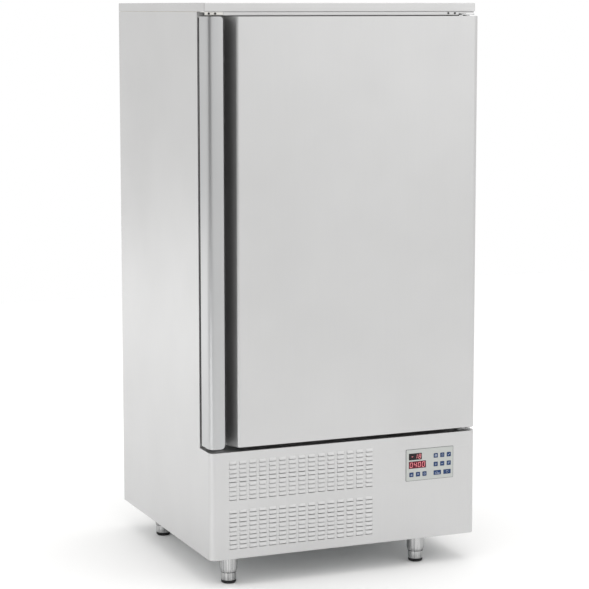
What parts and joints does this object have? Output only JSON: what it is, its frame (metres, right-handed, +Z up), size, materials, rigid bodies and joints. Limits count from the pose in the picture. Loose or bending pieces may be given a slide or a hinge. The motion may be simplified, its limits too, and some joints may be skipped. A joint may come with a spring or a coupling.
{
  "type": "blast chiller",
  "caption": "Upright free-standing blast chiller with a full-height hinged door, an insulated cavity with tray runners and a louvred machine compartment on levelling feet.",
  "frame": {"origin": "middle of the footprint at floor level", "axes": "+X to the right and +Y to the back as one faces the door, +Z up"},
  "size_m": [0.8, 0.759, 1.575],
  "materials": {
    "satin_steel": "satin, fine vertical grain",
    "grip_steel": "satin, slightly darker",
    "polished_steel": "bright",
    "galvanised_steel": "galvanised, matt",
    "rigid_foam": "closed-cell foam",
    "seal_rubber": "matt",
    "plate_film": "fine matt film",
    "key_film": "matt",
    "display_window": "gloss, dark tinted",
    "black_plastic": "matt",
    "white_plastic": "matt",
    "black_enamel": "gloss enamel",
    "copper": "drawn tube",
    "fin_aluminium": "mill finish"
  },
  "bodies": {
    "cabinet": {"left_side_panel": "satin_steel", "right_side_panel": "satin_steel", "top_cap": "satin_steel", "inner_liner": "satin_steel", "front_frame": "satin_steel", "machine_front_panel": "satin_steel", "evaporator_cover": "satin_steel", "hinge_bracket_top": "polished_steel", "hinge_bracket_bottom": "polished_steel", "tray_rack_left": "polished_steel", "tray_rack_right": "polished_steel", "foot_sleeve_front_left": "polished_steel", "foot_sleeve_front_right": "polished_steel", "foot_sleeve_rear_left": "polished_steel", "foot_sleeve_rear_right": "polished_steel", "rear_panel": "galvanised_steel", "base_pan": "galvanised_steel", "fan_guard_lower": "galvanised_steel", "fan_guard_upper": "galvanised_steel", "fan_shroud": "galvanised_steel", "cabinet_insulation": "rigid_foam", "controller_plate": "plate_film", "display_board": "display_window", "cavity_drain": "black_plastic", "cable_gland": "black_plastic", "control_box": "black_plastic", "door_switch": "white_plastic", "compressor": "black_enamel", "liquid_receiver": "black_enamel", "suction_line": "copper", "discharge_line": "copper", "evaporator_coil": "fin_aluminium", "condenser_coil": "fin_aluminium"},
    "door": {"door_skin": "satin_steel", "door_grip": "grip_steel", "door_insulation": "rigid_foam", "door_liner": "satin_steel", "door_gasket": "seal_rubber"},
    "key_lower_1": {"key_lower_1": "key_film"},
    "key_lower_2": {"key_lower_2": "key_film"},
    "key_lower_3": {"key_lower_3": "key_film"},
    "key_middle_1": {"key_middle_1": "key_film"},
    "key_middle_2": {"key_middle_2": "key_film"},
    "key_middle_3": {"key_middle_3": "key_film"},
    "key_upper_1": {"key_upper_1": "key_film"},
    "key_upper_2": {"key_upper_2": "key_film"},
    "key_upper_3": {"key_upper_3": "key_film"},
    "key_wide_1": {"key_wide_1": "key_film"},
    "key_wide_2": {"key_wide_2": "key_film"},
    "evaporator_fan_lower": {"evaporator_fan_lower": "black_plastic"},
    "evaporator_fan_upper": {"evaporator_fan_upper": "black_plastic"},
    "condenser_fan": {"condenser_fan": "black_plastic"},
    "foot_front_left": {"foot_front_left": "polished_steel", "foot_pad_front_left": "seal_rubber"},
    "foot_front_right": {"foot_front_right": "polished_steel", "foot_pad_front_right": "seal_rubber"},
    "foot_rear_left": {"foot_rear_left": "polished_steel", "foot_pad_rear_left": "seal_rubber"},
    "foot_rear_right": {"foot_rear_right": "polished_steel", "foot_pad_rear_right": "seal_rubber"}
  },
  "joints": [
    {"name": "door_hinge", "type": "hinge", "parent": "cabinet", "child": "door", "pos_m": [0.375, -0.344, 0.96], "axis": [0, 0, 1], "range_deg": [0, 105]},
    {"name": "key_lower_1_press", "type": "slide", "parent": "cabinet", "child": "key_lower_1", "axis": [0, 1, 0], "range_m": [0, 0.0006], "stiffness_N_per_m": 1500, "springref_m": -0.0004},
    {"name": "key_lower_2_press", "type": "slide", "parent": "cabinet", "child": "key_lower_2", "axis": [0, 1, 0], "range_m": [0, 0.0006], "stiffness_N_per_m": 1500, "springref_m": -0.0004},
    {"name": "key_lower_3_press", "type": "slide", "parent": "cabinet", "child": "key_lower_3", "axis": [0, 1, 0], "range_m": [0, 0.0006], "stiffness_N_per_m": 1500, "springref_m": -0.0004},
    {"name": "key_middle_1_press", "type": "slide", "parent": "cabinet", "child": "key_middle_1", "axis": [0, 1, 0], "range_m": [0, 0.0006], "stiffness_N_per_m": 1500, "springref_m": -0.0004},
    {"name": "key_middle_2_press", "type": "slide", "parent": "cabinet", "child": "key_middle_2", "axis": [0, 1, 0], "range_m": [0, 0.0006], "stiffness_N_per_m": 1500, "springref_m": -0.0004},
    {"name": "key_middle_3_press", "type": "slide", "parent": "cabinet", "child": "key_middle_3", "axis": [0, 1, 0], "range_m": [0, 0.0006], "stiffness_N_per_m": 1500, "springref_m": -0.0004},
    {"name": "key_upper_1_press", "type": "slide", "parent": "cabinet", "child": "key_upper_1", "axis": [0, 1, 0], "range_m": [0, 0.0006], "stiffness_N_per_m": 1500, "springref_m": -0.0004},
    {"name": "key_upper_2_press", "type": "slide", "parent": "cabinet", "child": "key_upper_2", "axis": [0, 1, 0], "range_m": [0, 0.0006], "stiffness_N_per_m": 1500, "springref_m": -0.0004},
    {"name": "key_upper_3_press", "type": "slide", "parent": "cabinet", "child": "key_upper_3", "axis": [0, 1, 0], "range_m": [0, 0.0006], "stiffness_N_per_m": 1500, "springref_m": -0.0004},
    {"name": "key_wide_1_press", "type": "slide", "parent": "cabinet", "child": "key_wide_1", "axis": [0, 1, 0], "range_m": [0, 0.0006], "stiffness_N_per_m": 1500, "springref_m": -0.0004},
    {"name": "key_wide_2_press", "type": "slide", "parent": "cabinet", "child": "key_wide_2", "axis": [0, 1, 0], "range_m": [0, 0.0006], "stiffness_N_per_m": 1500, "springref_m": -0.0004},
    {"name": "evaporator_fan_lower_spin", "type": "hinge", "parent": "cabinet", "child": "evaporator_fan_lower", "pos_m": [-0.17, 0.00565, 0.72325], "axis": [1, 0, 0], "continuous": true},
    {"name": "evaporator_fan_upper_spin", "type": "hinge", "parent": "cabinet", "child": "evaporator_fan_upper", "pos_m": [-0.17, 0.00565, 1.20325], "axis": [1, 0, 0], "continuous": true},
    {"name": "condenser_fan_spin", "type": "hinge", "parent": "cabinet", "child": "condenser_fan", "pos_m": [-0.177, -0.224, 0.201], "axis": [0, 1, 0], "continuous": true},
    {"name": "foot_front_left_height", "type": "slide", "parent": "cabinet", "child": "foot_front_left", "axis": [0, 0, 1], "range_m": [-0.03, 0]},
    {"name": "foot_front_right_height", "type": "slide", "parent": "cabinet", "child": "foot_front_right", "axis": [0, 0, 1], "range_m": [-0.03, 0]},
    {"name": "foot_rear_left_height", "type": "slide", "parent": "cabinet", "child": "foot_rear_left", "axis": [0, 0, 1], "range_m": [-0.03, 0]},
    {"name": "foot_rear_right_height", "type": "slide", "parent": "cabinet", "child": "foot_rear_right", "axis": [0, 0, 1], "range_m": [-0.03, 0]}
  ]
}
